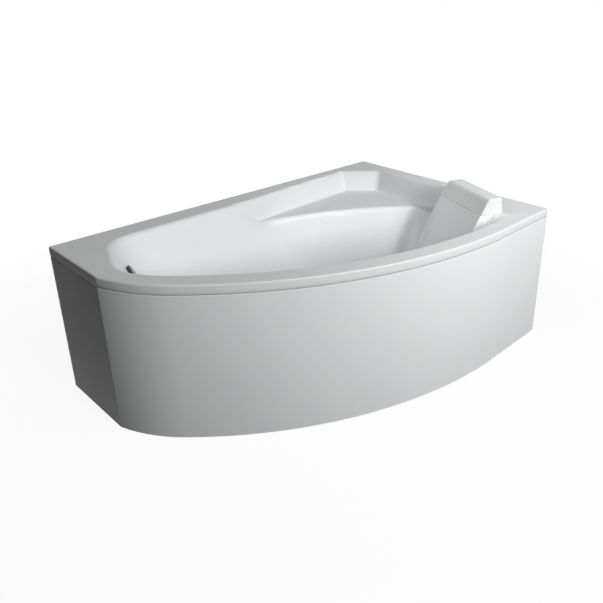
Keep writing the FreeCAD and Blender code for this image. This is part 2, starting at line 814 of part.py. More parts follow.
def make_feet():
    """Hexagonal pads, studs and welded nuts; studs and bores have twelve sides for a thread."""
    sides = 12
    bore = "2 * (stud_radius + thread_clearance)"
    low = "socket_floor + stud_gap"
    parts = []
    nuts = []
    for number, (x, y) in enumerate(FOOT_PLACES, start=1):
        x, y = size(x), size(y)
        pad = prism("foot_pad_%d" % number, 6, "pad_flats", "pad_height", at(x, y))
        socket = regular(pad, 6, bore, "_socket")
        parts.append(bored(pad, "pad_height", socket, "pad_height - socket_floor"))
        stud_flats = "2 * stud_radius * cos(%s deg)" % (180 / sides)
        stud_place = at(x, y, size(low))
        parts.append(prism(
            "foot_stud_%d" % number, sides, stud_flats, "stud_top - (%s)" % low, stud_place
        ))
        under = at(x, y, size("cross_height - nut_height"))
        weld_nut = prism("weld_nut_%d" % number, 6, "nut_flats", "nut_height", under)
        thread = regular(weld_nut, sides, bore, "_bore")
        nuts.append(bored(weld_nut, "nut_height", thread, "nut_height + 1"))
    parts.append(group("weld_nuts", nuts))
    return parts


# ---------------------------------------------------------------- front panel


def panel_ring(label, outer, inner, low, height):
    """A band along the outline, its wall sides moved out of the tub's own reach."""
    away = -40
    return cut(
        label,
        extrusion(label + "_outer", outline_wire(outer, low, away), height),
        extrusion(label + "_inner", outline_wire(inner, low - 1, away + 5), height + 2),
    )


def make_panel():
    """One bent sheet round the narrow end and the front, turned in at top and bottom."""
    recess = size("panel_recess")
    low = size("panel_bottom")
    high = RIM - size("lip_height") - size("panel_gap")
    skin = panel_ring("panel_skin", recess, recess + size("panel_wall"), low, high - low)
    edge = size("panel_flange_wall")
    reach = size("panel_flange")
    top = panel_ring("panel_top_flange", recess, reach, high - edge, edge)
    bottom = panel_ring("panel_bottom_flange", recess, reach, low, edge)
    whole = fuse("panel_round", [skin, top, bottom])
    keep_front = box(
        "panel_keep_front", "tub_length / 2 + 2 + panel_end_x", "tub_width / 2 + 5 + panel_end_y",
        "rim_height", ("-(tub_length / 2 + 2)", "-(tub_width / 2 + 5)", "0"),
    )
    return common("front_panel", whole, keep_front)


CLIP_PLACES = [-520, -180, 220, 620]


def make_clips():
    """Spring clips under the front batten; their tongues carry the panel's top flange."""
    clips = []
    left = -size("clip_width") / 2
    front = -size("clip_sheet") - 0.1
    plate_sizes = {"Length": "clip_width", "Width": "clip_sheet", "Height": "clip_height"}
    tongue_sizes = {"Length": "clip_width", "Width": "clip_reach", "Height": "clip_sheet"}
    for number, x in enumerate(CLIP_PLACES, start=1):
        foot_x, foot_y, heading = point_on_front(x, size("batten_front_inset"))
        turn = FreeCAD.Rotation(vector(0, 0, 1), heading)
        corner = at(foot_x, foot_y, 0, turn).multiply(at(left, front, size("clip_level")))
        plate = placed("Part::Box", "clip_plate_%d" % number, plate_sizes, corner)
        lower = corner.multiply(at(0, -size("clip_reach")))
        tongue = placed("Part::Box", "clip_tongue_%d" % number, tongue_sizes, lower)
        clips.append(fuse("clip_%d" % number, [plate, tongue]))
    return group("panel_clips", clips)


# ---------------------------------------------------------------- headrest


def make_headrest():
    """A wedge that sits on the rim, its front face in line with the backrest."""
    body = doc.addObject("PartDesign::Body", "headrest")
    corners = [
        ("0", "0"), ("rest_overhang + rest_depth", "0"),
        ("rest_overhang + rest_depth", "rest_height"), ("rest_overhang", "rest_height"),
    ]
    sketch = draw_profile(body, "XZ_Plane", corners)
    pad = body.newObject("PartDesign::Pad", "headrest_pad")
    pad.Profile = sketch
    pad.setExpression("Length", linked("rest_width"))
    body.Tip = pad
    doc.recompute()
    upper = [
        "Edge%d" % i for i, edge in enumerate(pad.Shape.Edges, start=1)
        if edge.BoundBox.ZMax > 1
    ]
    fillet = body.newObject("PartDesign::Fillet", "headrest_fillet")
    fillet.Base = (pad, upper)
    fillet.setExpression("Radius", linked("rest_round"))
    body.Tip = fillet
    x, y = skewed(-size("rest_overhang"), 3)
    turn = FreeCAD.Rotation(vector(0, 0, 1), math.degrees(SKEW))
    body.Placement = at(x, y, RIM + size("rest_gap"), turn)
    pegs = []
    for number, (peg_x, peg_y) in enumerate(peg_places(), start=1):
        place = (str(peg_x), str(peg_y), "rim_height + rest_gap - peg_length")
        pegs.append(cylinder("rest_peg_%d" % number, "peg_radius", "peg_length", place))
    return [body, group("headrest_pegs", pegs)]


# ---------------------------------------------------------------- waste


def make_waste():
    top = "rim_height - bowl_depth"
    here = at(size("drain_x"), size("drain_y"))
    flange = [
        ("flange_neck", "flange_low"), ("flange_neck", top), ("flange_radius", top),
        ("flange_radius", top + " + flange_lip"), ("flange_bore", top + " + flange_lip"),
        ("flange_bore", "flange_low"),
    ]
    plug_low = top + " + plug_gap"
    plug = fuse("drain_plug", [
        cylinder("plug_cap", "plug_radius", "plug_height", ("drain_x", "drain_y", plug_low)),
        square_bar("plug_stem", "stem_side", "stem_low", plug_low + " + 1 - stem_low"),
    ])
    arm_low = "flange_low + grid_depth"
    grid = fuse("drain_grid", [
        turned("drain_ring", flange, here),
        bar("grid_hub", "grid_hub", "grid_hub", "flange_low + grid_bar", "grid_depth + 2"),
        bar("grid_arm_x", "grid_arm", "grid_bar", arm_low, "grid_depth"),
        bar("grid_arm_y", "grid_bar", "grid_arm", arm_low, "grid_depth"),
    ])
    guide = square_bar("grid_guide", "stem_side + stem_gap", "flange_low - 5", "20")
    return [
        cut("drain_flange", grid, guide),
        plug,
        nut("trap_nut", "trap_nut_flats", "trap_nut_height", "flange_bore + nut_gap",
            at(size("drain_x"), size("drain_y"), size("trap_top + nut_gap"))),
        make_trap(here),
        prism("trap_cup", 12, "trap_cup_flats", "trap_low - trap_cup_low - nut_gap",
              at(size("drain_x"), size("drain_y"), size("trap_cup_low"))),
        make_outlet_pipe(),
        nut("outlet_nut", "outlet_nut_flats", "collar_end - collar_start - 0.3",
            "pipe_radius - 0.9",
            at(size("drain_x"), size("drain_y + collar_start"), size("pipe_level"), TO_WALL)),
        make_waste_body(here),
    ]


TO_WALL = FreeCAD.Rotation(vector(1, 0, 0), -90)  # turns Z to face the long wall


def make_trap(here):
    """The trap's bottle with its outlet towards the long wall."""
    bottle = [
        ("0", "trap_low"), ("trap_radius", "trap_low"), ("trap_radius", "trap_top"),
        ("0", "trap_top"),
    ]
    outlet = cylinder(
        "trap_outlet", "pipe_radius + pipe_wall", "trap_reach",
        ("drain_x", "drain_y", "pipe_level"), TO_WALL,
    )
    return fuse("trap_body", [turned("trap_bottle", bottle, here), outlet])


def make_outlet_pipe():
    """The pipe to the wall; its thinner tail is inside the outlet's nut."""
    start = ("drain_x", "drain_y + collar_start", "pipe_level")
    run_start = ("drain_x", "drain_y + collar_end", "pipe_level")
    tail = cylinder(
        "pipe_tail", "pipe_radius - 1", "collar_end - collar_start + 1", start, TO_WALL
    )
    run = cylinder(
        "pipe_run", "pipe_radius", "pipe_end_y - drain_y - collar_end", run_start, TO_WALL
    )
    bore = cylinder(
        "pipe_bore", "pipe_radius - pipe_wall - 1", "pipe_end_y - drain_y", start, TO_WALL
    )
    return cut("outlet_pipe", fuse("pipe_solid", [tail, run]), bore)


def bar(label, length, width, low, height):
    """A bar centred on the drain's axis."""
    start = ("drain_x - (%s) / 2" % length, "drain_y - (%s) / 2" % width, low)
    return box(label, length, width, height, start)


def square_bar(label, side, low, height):
    return bar(label, side, side, low, height)


def drop_heading():
    """Where the overflow's pipe goes down, and its plan direction towards the waste."""
    start = OVERFLOW.multVec(vector(0, 0, -size("drop_start")))
    run = vector(size("drain_x") - start.x, size("drain_y") - start.y)
    return start, run.normalize()


def make_waste_body(here):
    """The waste's cup under the drain, with its inlet from the overflow pipe."""
    corners = [
        ("0", "neck_low"), ("flange_bore", "neck_low"), ("flange_bore", "cup_low"),
        ("gasket_radius", "cup_low"), ("gasket_radius", "cup_top"), ("cup_bore", "cup_top"),
        ("cup_bore", "cup_floor"), ("0", "cup_floor"),
    ]
    cup = turned("waste_cup", corners, here)
    start, run = drop_heading()
    turn = FreeCAD.Rotation(vector(0, 0, 1), vector(-run.x, -run.y, 0))
    inlet = placed(
        "Part::Cylinder", "waste_inlet", {"Radius": "drop_radius - 1", "Height": "inlet_reach"},
        at(size("drain_x"), size("drain_y"), size("drop_level"), turn),
    )
    room = cylinder(
        "waste_room", "cup_bore + 1.5", "2 * drop_radius", ("drain_x", "drain_y", "cup_floor + 0.5")
    )
    return fuse("waste_body", [cup, cut("waste_stub", inlet, room)])


# ---------------------------------------------------------------- overflow


def make_overflow():
    bezel = [
        ("bezel_bore", "bezel_gap"), ("bezel_radius", "bezel_gap"),
        ("bezel_radius", "bezel_height"), ("bezel_bore", "bezel_height"),
    ]
    # each height is counted from the stem's inner end
    under = "knob_stem_depth + knob_stand"
    knob = [
        ("0", "0"), ("knob_stem", "0"), ("knob_stem", under), ("knob_radius", under),
        ("knob_radius", under + " + knob_height"), ("0", under + " + knob_height"),
    ]
    # counted from the back of the chamber
    socket = "knob_stem + stem_clearance"
    chamber = [
        ("0", "0"), ("gasket_radius", "0"), ("gasket_radius", "chamber_front"),
        ("chamber_bore", "chamber_front"), ("chamber_bore", "chamber_floor"),
        (socket, "chamber_floor"), (socket, "chamber_socket"), ("0", "chamber_socket"),
    ]
    back = OVERFLOW.multiply(at(0, 0, -size("chamber_depth")))
    start, run = drop_heading()
    drop = cylinder(
        "overflow_drop", "drop_radius - 2.5", "%.3f - drop_top" % start.z,
        ("%.3f" % start.x, "%.3f" % start.y, "drop_top"),
    )
    core = placed(
        "Part::Cylinder", "overflow_core", {"Radius": "chamber_bore", "Height": "core_length"},
        OVERFLOW.multiply(at(0, 0, -size("core_start"))),
    )
    stem_end = OVERFLOW.multiply(at(0, 0, -size("knob_stem_depth")))
    cup = turned("overflow_cup", chamber, back)
    return [
        turned("overflow_bezel", bezel, OVERFLOW),
        turned("overflow_knob", knob, stem_end),
        fuse("overflow_body", [cup, cut("overflow_stub", drop, core)]),
        make_overflow_pipe(),
        make_gaskets(),
    ]


def make_gaskets():
    """The same flat ring behind the overflow's wall and under the drain."""
    ring = [
        ("gasket_bore", "0"), ("gasket_radius", "0"), ("gasket_radius", "gasket_thickness"),
        ("gasket_bore", "gasket_thickness"),
    ]
    under_drain = at(size("drain_x"), size("drain_y"), UNDERSIDE - size("drain_gasket_drop"))
    behind_wall = OVERFLOW.multiply(at(0, 0, -size("overflow_gasket_depth")))
    return group("gaskets", [
        turned("overflow_gasket", ring, behind_wall),
        turned("drain_gasket", ring, under_drain),
    ])


def make_overflow_pipe():
    """Down behind the narrow wall, round an elbow of three mitres, then level to the waste."""
    start, run = drop_heading()
    corner = vector(start.x, start.y, size("drop_level"))
    bend = size("drop_bend")
    centre = corner + vector(0, 0, bend) + run * bend
    reach = (vector(size("drain_x"), size("drain_y")) - vector(start.x, start.y)).Length
    points = [vector(corner.x, corner.y, size("drop_top"))]
    mitres = 3
    outside = bend / math.cos(math.pi / 4 / mitres)
    for step in range(mitres):
        angle = math.pi / 2 * (step + 0.5) / mitres
        sideways = run * (outside * math.cos(angle))
        points.append(centre - sideways - vector(0, 0, outside * math.sin(angle)))
    points.append(corner + run * (reach - size("inlet_reach")))
    ring = Part.Circle(points[0], vector(0, 0, -1), size("drop_radius")).toShape()
    path = Part.makePolygon(points)
    return feature("overflow_pipe", path.makePipeShell([Part.Wire([ring])], True, False, 1))


# ---------------------------------------------------------------- assembly

nodes = [make_shell(), make_board()]
nodes += make_battens()
nodes += make_frame()
nodes += make_feet()
nodes += [make_panel(), make_clips()]
nodes += make_headrest()
nodes += make_waste()
nodes += make_overflow()
doc.recompute()

for item in doc.Objects:
    if "Invalid" in item.State or "Error" in item.State:
        raise RuntimeError("failed: " + item.Label)
for node in nodes:
    if node.Shape.isNull() or not node.Shape.isValid():
        raise RuntimeError("bad shape: " + node.Label)

os.makedirs("parts", exist_ok=True)
for node in nodes:
    node.Shape.exportStep("parts/%s.step" % node.Label)
    print("%-20s %2d solids %10.1f cm3" % (
        node.Label, len(node.Shape.Solids), node.Shape.Volume / 1000))
print(len(nodes), "nodes")
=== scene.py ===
import bpy
import bmesh
import json
import math
import numpy as np
from mathutils import Matrix, Vector


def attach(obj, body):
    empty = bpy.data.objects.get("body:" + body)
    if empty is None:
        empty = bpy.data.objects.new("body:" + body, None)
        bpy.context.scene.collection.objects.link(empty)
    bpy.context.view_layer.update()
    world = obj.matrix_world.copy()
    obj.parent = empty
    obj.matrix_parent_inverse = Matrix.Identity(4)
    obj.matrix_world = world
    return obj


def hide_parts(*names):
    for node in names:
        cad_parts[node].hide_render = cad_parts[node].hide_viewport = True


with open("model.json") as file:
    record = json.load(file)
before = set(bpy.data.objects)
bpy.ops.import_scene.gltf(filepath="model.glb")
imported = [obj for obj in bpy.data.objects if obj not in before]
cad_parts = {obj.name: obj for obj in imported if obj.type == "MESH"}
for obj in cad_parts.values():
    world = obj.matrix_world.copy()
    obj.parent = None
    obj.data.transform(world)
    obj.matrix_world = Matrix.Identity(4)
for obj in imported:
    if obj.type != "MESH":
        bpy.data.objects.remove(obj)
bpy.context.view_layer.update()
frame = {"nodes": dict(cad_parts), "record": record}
nodes = frame["nodes"]
print("frame loaded:", len(nodes), "nodes")

# all plan sizes are millimetres until a mesh is made
mm = 0.001

# the rim's plan, which the shell and the panel share
outline = {
    "left": -800.0, "right": 800.0, "wall": 525.0, "front": -525.0, "rim": 580.0,
    "narrowWidth": 355.0, "frontStraight": 323.0, "frontTurn": 45.5, "frontRadius": 1608.0,
    "cornerTurn": 72.0, "cornerRadius": 544.0, "edgeCorner": 9.0, "arcSlack": 10.0,
}


def crossing(first, second):
    x1, y1, a = first
    x2, y2, b = second
    reach = ((x2 - x1) * math.sin(b) - (y2 - y1) * math.cos(b)) / math.sin(b - a)
    return x1 + reach * math.cos(a), y1 + reach * math.sin(a)


def planSide(x, y, heading, shift=0.0):
    # a straight side through a plan point, with its inside on the left of its heading
    angle = math.radians(heading)
    return x - shift * math.sin(angle), y + shift * math.cos(angle), angle


def tangentArc(before, after, radius):
    # centre and turn of the arc that joins two sides
    cornerX, cornerY = crossing(before, after)
    turn = math.remainder(after[2] - before[2], 2 * math.pi)
    tangent = radius * math.tan(turn / 2)
    startX = cornerX - tangent * math.cos(before[2])
    startY = cornerY - tangent * math.sin(before[2])
    centreX = startX - radius * math.sin(before[2])
    centreY = startY + radius * math.cos(before[2])
    return centreX, centreY, turn


def outlineSides(inset=0.0):
    o = outline
    turn = math.radians(o["frontTurn"])
    handoverX = o["right"] - o["frontStraight"] - o["frontRadius"] * math.sin(turn)
    handoverY = o["front"] + o["frontRadius"] * (1 - math.cos(turn))
    return [
        planSide(o["left"], 0, 270, inset),
        planSide(o["left"], o["wall"] - o["narrowWidth"], -o["cornerTurn"], inset),
        planSide(handoverX, handoverY, -o["frontTurn"], inset),
        planSide(0, o["front"], 0, inset),
    ]


def frontPoints(inset, steps):
    # plan points along the front edge: three tangent arcs, each with its step count
    o = outline
    sides = outlineSides(inset)
    radii = (max(o["edgeCorner"] - inset, 1), o["cornerRadius"] - o["arcSlack"] - inset,
             o["frontRadius"] - o["arcSlack"] - inset)
    points = []
    for before, after, radius, count in zip(sides, sides[1:], radii, steps):
        centreX, centreY, turn = tangentArc(before, after, radius)
        for step in range(count + 1):
            angle = before[2] - math.pi / 2 + turn * step / count
            points.append((centreX + radius * math.cos(angle), centreY + radius * math.sin(angle)))
    return points


def frontDistance(x, y):
    # how far a plan point lies inside the bowed front edge
    o = outline
    sides = outlineSides()[1:]
    radii = (o["cornerRadius"] - o["arcSlack"], o["frontRadius"] - o["arcSlack"])
    best = np.full(np.shape(x), np.inf)
    for side in sides:
        best = np.minimum(best, sideReach(side, x, y))
    for before, after, radius in zip(sides, sides[1:], radii):
        centreX, centreY, _ = tangentArc(before, after, radius)
        toX, toY = x - centreX, y - centreY
        around = np.arctan2(toY, toX)
        start, end = before[2] - math.pi / 2, after[2] - math.pi / 2
        pastStart = np.mod(around - start + math.pi, 2 * math.pi) >= math.pi
        beforeEnd = np.mod(around - end + math.pi, 2 * math.pi) <= math.pi
        best = np.where(pastStart & beforeEnd, radius - np.hypot(toX, toY), best)
    return best


# sides are (x, y, heading), falls are millimetres inwards for each one of depth
shell = {
    "frontRim": 74.0, "backRim": 97.0, "headRim": 83.0, "edgeRound": 6.0, "wall": 5.0,
    "lipHeight": 34.0, "lipFoot": ((0, 12), (0, 2), (-0.6, 0.6), (-2, 0)), "steep": 0.5,
    # the headrest's front left corner, where its width starts, and its turn
    "restX": 660.0, "restY": -118.0, "restStart": 3.0, "restTurn": -20.7,
    "restWidth": 295.0, "restOverhang": 38.0,
    # blends that grow towards the narrow end: width, growth, x where it starts, length
    "lipBlend": (22.0, 14.0, -560.0, 90.0),
    "shelfBlend": (16.0, 60.0, 200.0, 250.0),
    "frontCorner": (18.0, 22.0, 250.0, 400.0),
    "crease": 2.0, "innerBlend": 8.0,
    # where the rim's lip turns sharp, so that the headrest has no groove at its foot
    "sharpLip": {"lip": 0.3, "inner": -90.0, "innerFade": 30.0,
                 "left": 20.0, "right": -310.0, "fade": 20.0},
    # grid runs of (start, end, spacing): along X in millimetres, and from the front edge to the wall
    "columns": ((-794, -450, 3.6), (-450, 300, 7.5), (300, 794, 3.2)),
    "shares": ((0, 0.29, 0.0027), (0.29, 0.76, 0.0065), (0.76, 0.93, 0.0030), (0.93, 1.0, 0.008)),
    "arcSteps": (6, 60, 120), "roundSteps": 6, "sharpAngle": 50.0,
    "depthRange": (-300.0, 900.0), "halvings": 26,
}

bowl = {
    "depth": 425.0, "floorBlend": 95.0, "narrowSide": (-658.0, 341.0, 248.5),
    "backLean": 23.0, "narrowLean": 28.0, "frontLean": 14.0, "restLean": 33.0, "shelfLean": 15.0,
    # corner blends: at the rim, and what the floor adds
    "narrowCorner": (85.0, 30.0), "restCorner": (14.0, 60.0), "ledgeBlend": 10.0,
    # beside the headrest: how the raised part tapers, and how the wall next to it turns off
    "padTaper": 0.45, "stripHeading": 63.6, "stripTurn": 0.053,
    # the shelf's bowed front edge goes through these
    "ledge": ((24.0, 396.0), (220.0, 332.0), (630.0, 62.0)),
}

shelf = {
    "depth": 95.0, "floorBlend": 16.0, "lean": 14.0, "tipLean": 33.0, "leftFall": 0.05,
    "chamfer": (590.0, 466.0, 136.2), "backRight": (245.0, 451.0, 182.5),
    "backLeft": (-45.0, 426.0, 184.9), "tip": (-45.0, 428.0, 240.0),
    "chamferBlend": 12.0, "tipBlend": 6.0,
}

nook = {
    "depth": 230.0, "floorBlend": 30.0, "backY": 36.0, "inner": (480.0, -60.0, 249.3),
    "headFall": 0.86, "backFall": 0.12, "blend": 30.0,
}

hollow = {
    "depth": 70.0, "floorBlend": 30.0, "endAlong": 30.0, "innerAlong": -120.0,
    "frontFall": 0.25, "endFall": 1.25, "rightFall": 0.1,
    "endBlend": 14.0, "rightBlend": 5.0, "innerBlend": 4.0,
}


def skewed(along, across):
    # plan point measured from the headrest's corner, in its turned directions
    angle = math.radians(shell["restTurn"])
    x = shell["restX"] + along * math.cos(angle) - across * math.sin(angle)
    y = shell["restY"] + along * math.sin(angle) + across * math.cos(angle)
    return x, y


def restSide(along, across, quarters):
    # a side that follows the turned headrest, or stands at right angles to it
    return planSide(*skewed(along, across), shell["restTurn"] + 90 * quarters)


def sideReach(side, x, y):
    return -(x - side[0]) * math.sin(side[2]) + (y - side[1]) * math.cos(side[2])


def softMin(a, b, width):
    blend = np.clip(0.5 + 0.5 * (b - a) / width, 0, 1)
    return b * (1 - blend) + a * blend - width * blend * (1 - blend)


def softMax(a, b, width):
    return -softMin(-a, -b, width)


def growing(name, x):
    # a blend that is wider towards the narrow end
    width, growth, start, length = shell[name]
    return width + growth * np.clip((start - x) / length, 0, 1)


def slope(lean):
    return math.tan(math.radians(lean))


def formDepth(inside, form, x):
    # deepest level at which the plan point still lies inside the walls, blended into the floor
    low, high = shell["depthRange"]
    under = np.full(np.shape(x), low)
    over = np.full(np.shape(x), high)
    for _ in range(shell["halvings"]):
        middle = (under + over) / 2
        held = inside(middle) > 0
        under = np.where(held, middle, under)
        over = np.where(held, over, middle)
    return softMin((under + over) / 2, form["depth"], form["floorBlend"])


def circleThrough(a, b, c):
    ax, ay, bx, by, cx, cy = *a, *b, *c
    d = 2 * (ax * (by - cy) + bx * (cy - ay) + cx * (ay - by))
    a2, b2, c2 = ax**2 + ay**2, bx**2 + by**2, cx**2 + cy**2
    x = (a2 * (by - cy) + b2 * (cy - ay) + c2 * (ay - by)) / d
    y = (a2 * (cx - bx) + b2 * (ax - cx) + c2 * (bx - ax)) / d
    return x, y


def bowlDepth(x, y):
    back = sideReach(planSide(0, outline["wall"] - shell["backRim"], 180), x, y)
    narrow = sideReach(planSide(*bowl["narrowSide"]), x, y)
    rest = sideReach(restSide(-shell["restOverhang"], 0, 1), x, y)
    padLeft = sideReach(restSide(0, shell["restStart"], 0), x, y)
    front = frontDistance(x, y) - shell["frontRim"]
    ledgeCentre = circleThrough(*bowl["ledge"])
    ledge = math.dist(ledgeCentre, bowl["ledge"][0]) - np.hypot(x - ledgeCentre[0], y - ledgeCentre[1])
    backSlope, narrowSlope = slope(bowl["backLean"]), slope(bowl["narrowLean"])
    frontSlope, restSlope = slope(bowl["frontLean"]), slope(bowl["restLean"])
    ledgeSlope = slope(bowl["shelfLean"])
    frontCorner = growing("frontCorner", x)

    def inside(depth):
        share = np.clip(depth / bowl["depth"], 0, 1)
        narrowCorner, restCorner = (
            bowl[corner][0] + bowl[corner][1] * share for corner in ("narrowCorner", "restCorner"))
        reach = softMin(back - depth * backSlope, narrow - depth * narrowSlope, narrowCorner)
        reach = softMin(reach, ledge - (depth - shelf["depth"]) * ledgeSlope, bowl["ledgeBlend"])
        # beside the tapering pad the wall turns off and runs on to the shelf's wall
        edgeX, edgeY = skewed(-shell["restOverhang"] - depth * restSlope,
                              shell["restStart"] - bowl["padTaper"] * depth)
        heading = np.radians(bowl["stripHeading"] - bowl["stripTurn"] * depth)
        strip = (y - edgeY) * np.cos(heading) - (x - edgeX) * np.sin(heading)
        strip = softMin(strip, padLeft + bowl["padTaper"] * depth, shell["crease"])
        backrest = softMax(rest - depth * restSlope, strip, shell["crease"])
        reach = softMin(reach, backrest, restCorner)
        return softMin(reach, front - depth * frontSlope, frontCorner)

    return formDepth(inside, bowl, x)


def shelfDepth(x, y):
    head = sideReach(planSide(outline["right"] - shell["headRim"], 0, 90), x, y)
    left = sideReach(restSide(0, shell["restStart"], 0), x, y)
    chamfer, backRight, backLeft, tip = (
        sideReach(planSide(*shelf[name]), x, y) for name in ("chamfer", "backRight", "backLeft", "tip"))
    wallSlope, tipSlope = slope(shelf["lean"]), slope(shelf["tipLean"])

    def inside(depth):
        reach = softMin(head, chamfer, shelf["chamferBlend"])
        reach = softMin(reach, backRight, shell["crease"])
        reach = softMin(reach, backLeft, shell["crease"]) - depth * wallSlope
        reach = softMin(reach, tip - depth * tipSlope, shelf["tipBlend"])
        return softMin(reach, left - shelf["leftFall"] * depth, shell["innerBlend"])

    return formDepth(inside, shelf, x)


def nookDepth(x, y):
    head = sideReach(planSide(outline["right"] - shell["headRim"], 0, 90), x, y)
    back = sideReach(planSide(0, nook["backY"], 180), x, y)
    inner = sideReach(planSide(*nook["inner"]), x, y)
    left = sideReach(restSide(0, shell["restStart"], 0), x, y)

    def inside(depth):
        reach = softMin(head - nook["headFall"] * depth, back - nook["backFall"] * depth, nook["blend"])
        reach = softMin(reach, inner, nook["blend"])
        # the pad stops tapering at the nook's floor
        tapered = np.minimum(depth, nook["depth"])
        return softMin(reach, left + bowl["padTaper"] * tapered, shell["innerBlend"])

    return formDepth(inside, nook, x)


def hollowDepth(x, y):
    front = frontDistance(x, y) - shell["frontRim"]
    end = sideReach(restSide(hollow["endAlong"], 0, 1), x, y)
    right = sideReach(restSide(0, shell["restStart"] - shell["restWidth"], 2), x, y)
    inner = sideReach(restSide(hollow["innerAlong"], 0, 3), x, y)

    def inside(depth):
        reach = softMin(front - hollow["frontFall"] * depth,
                        end - hollow["endFall"] * depth, hollow["endBlend"])
        reach = softMin(reach, right - hollow["rightFall"] * depth, hollow["rightBlend"])
        return softMin(reach, inner, hollow["innerBlend"])

    return formDepth(inside, hollow, x)


def shellLevel(x, y):
    # height of the tub's upper surface
    depth = softMax(bowlDepth(x, y), shelfDepth(x, y), growing("shelfBlend", x))
    depth = softMax(depth, nookDepth(x, y), shell["innerBlend"])
    depth = softMax(depth, hollowDepth(x, y), shell["innerBlend"])
    turn = math.radians(shell["restTurn"])
    offX, offY = x - shell["restX"], y - shell["restY"]
    along = offX * math.cos(turn) + offY * math.sin(turn)
    across = -offX * math.sin(turn) + offY * math.cos(turn)
    sharp = shell["sharpLip"]
    nearRest = np.clip((along - sharp["inner"]) / sharp["innerFade"], 0, 1)
    nearRest = nearRest * np.clip((sharp["left"] - across) / sharp["fade"], 0, 1)
    nearRest = nearRest * np.clip((across - sharp["right"]) / sharp["fade"], 0, 1)
    lip = growing("lipBlend", x) * (1 - nearRest) + sharp["lip"] * nearRest
    return outline["rim"] - softMax(depth, np.zeros_like(depth), lip)


def makeMesh(name, vertices, faces, smooth=True):
    mesh = bpy.data.meshes.new(name)
    mesh.from_pydata([Vector(v) * mm for v in vertices], [], faces)
    mesh.validate()
    mesh.update()
    if smooth:
        mesh.polygons.foreach_set("use_smooth", [True] * len(mesh.polygons))
    item = bpy.data.objects.new(name, mesh)
    bpy.context.scene.collection.objects.link(item)
    return item


def spread(runs):
    # positions in runs of (start, end, spacing)
    places = []
    for start, end, spacing in runs:
        count = max(1, round((end - start) / spacing))
        places += [start + (end - start) * i / count for i in range(count)]
    return places + [runs[-1][1]]


def rimLoop(columns, frontRun, index, nx, ny):
    # the grid's border anticlockwise, each point with its outward direction
    def frontNormal(i):
        k = min(max(np.searchsorted(frontRun[:, 0], columns[i]), 1), len(frontRun) - 1)
        dx, dy = frontRun[k] - frontRun[k - 1]
        length = math.hypot(dx, dy)
        return dy / length, -dx / length

    loop = [(index(i, 0), frontNormal(i)) for i in range(nx)]
    loop += [(index(nx - 1, j), (1.0, 0.0)) for j in range(ny)]
    loop += [(index(i, ny - 1), (0.0, 1.0)) for i in range(nx - 1, -1, -1)]
    loop += [(index(0, j), (-1.0, 0.0)) for j in range(ny - 1, -1, -1)]
    # a corner is there twice, and a fan of directions joins the two
    steps = shell["roundSteps"]
    fanned = []
    for k, (number, out) in enumerate(loop):
        before = loop[k - 1]
        if before[0] == number:
            start = math.atan2(before[1][1], before[1][0])
            turn = math.remainder(math.atan2(out[1], out[0]) - start, 2 * math.pi)
            for step in range(1, steps):
                angle = start + turn * step / steps
                fanned.append((number, (math.cos(angle), math.sin(angle))))
        fanned.append((number, out))
    return fanned


def lipProfile():
    # the rounded edge and the turned-down lip, as (distance outwards, level)
    inset, rim, steps = shell["edgeRound"], outline["rim"], shell["roundSteps"]
    profile = []
    for step in range(1, steps + 1):
        angle = math.pi / 2 * step / steps
        profile.append((inset * math.sin(angle), rim - inset * (1 - math.cos(angle))))
    low = rim - shell["lipHeight"]
    return profile + [(inset + out, low + up) for out, up in shell["lipFoot"]]


def makeShell():
    inset = shell["edgeRound"]
    steps = shell["arcSteps"]
    # the front run starts past the middle of the narrow end's corner
    frontRun = np.array(frontPoints(inset, steps)[steps[0] // 2 + 1:])
    columns = np.array(spread(shell["columns"]))
    edgeY = np.interp(columns, frontRun[:, 0], frontRun[:, 1])
    shares = np.array(spread(shell["shares"]))
    x = np.repeat(columns[:, None], len(shares), axis=1)
    y = edgeY[:, None] + shares[None, :] * (outline["wall"] - inset - edgeY[:, None])
    nx, ny = x.shape
    vertices = np.stack([x, y, shellLevel(x, y)], -1).reshape(-1, 3).tolist()

    def index(i, j):
        return i * ny + j

    faces = [(index(i, j), index(i + 1, j), index(i + 1, j + 1), index(i, j + 1))
             for i in range(nx - 1) for j in range(ny - 1)]
    border = rimLoop(columns, frontRun, index, nx, ny)
    ring = [number for number, _ in border]
    rimPoints = [vertices[number][:2] for number in ring]
    count = len(border)
    for out, level in lipProfile():
        start = len(vertices)
        for (rimX, rimY), (_, normal) in zip(rimPoints, border):
            vertices.append((rimX + normal[0] * out, rimY + normal[1] * out, level))
        following = list(range(start, start + count))
        for k in range(count):
            a, b = ring[k], ring[(k + 1) % count]
            c, d = following[(k + 1) % count], following[k]
            faces.append((a, d, c) if a == b else (a, d, c, b))
        ring = following
    return makeMesh("shellSkin", vertices, faces)


def bakeModifiers(item):
    # the evaluated mesh takes the place of the modifier stack
    shown = item.evaluated_get(bpy.context.evaluated_depsgraph_get())
    mesh = bpy.data.meshes.new_from_object(shown)
    item.modifiers.clear()
    item.data = mesh


# holes through the shell: centre, radius, and how far the cutter reaches to each side
holes = {
    "drain": (-330.0, 80.0), "drainRadius": 26.0, "drainReach": 30.0,
    "overflow": (-640.93, 274.09, 504.0), "overflowAxis": (0.82151, -0.323601, 0.469472),
    "overflowRadius": 24.0, "overflowReach": 25.0,
    "pegPitch": 180.0, "pegAlong": 30.0, "pegRadius": 8.4, "pegReach": 20.0,
    "sides": 64,
}


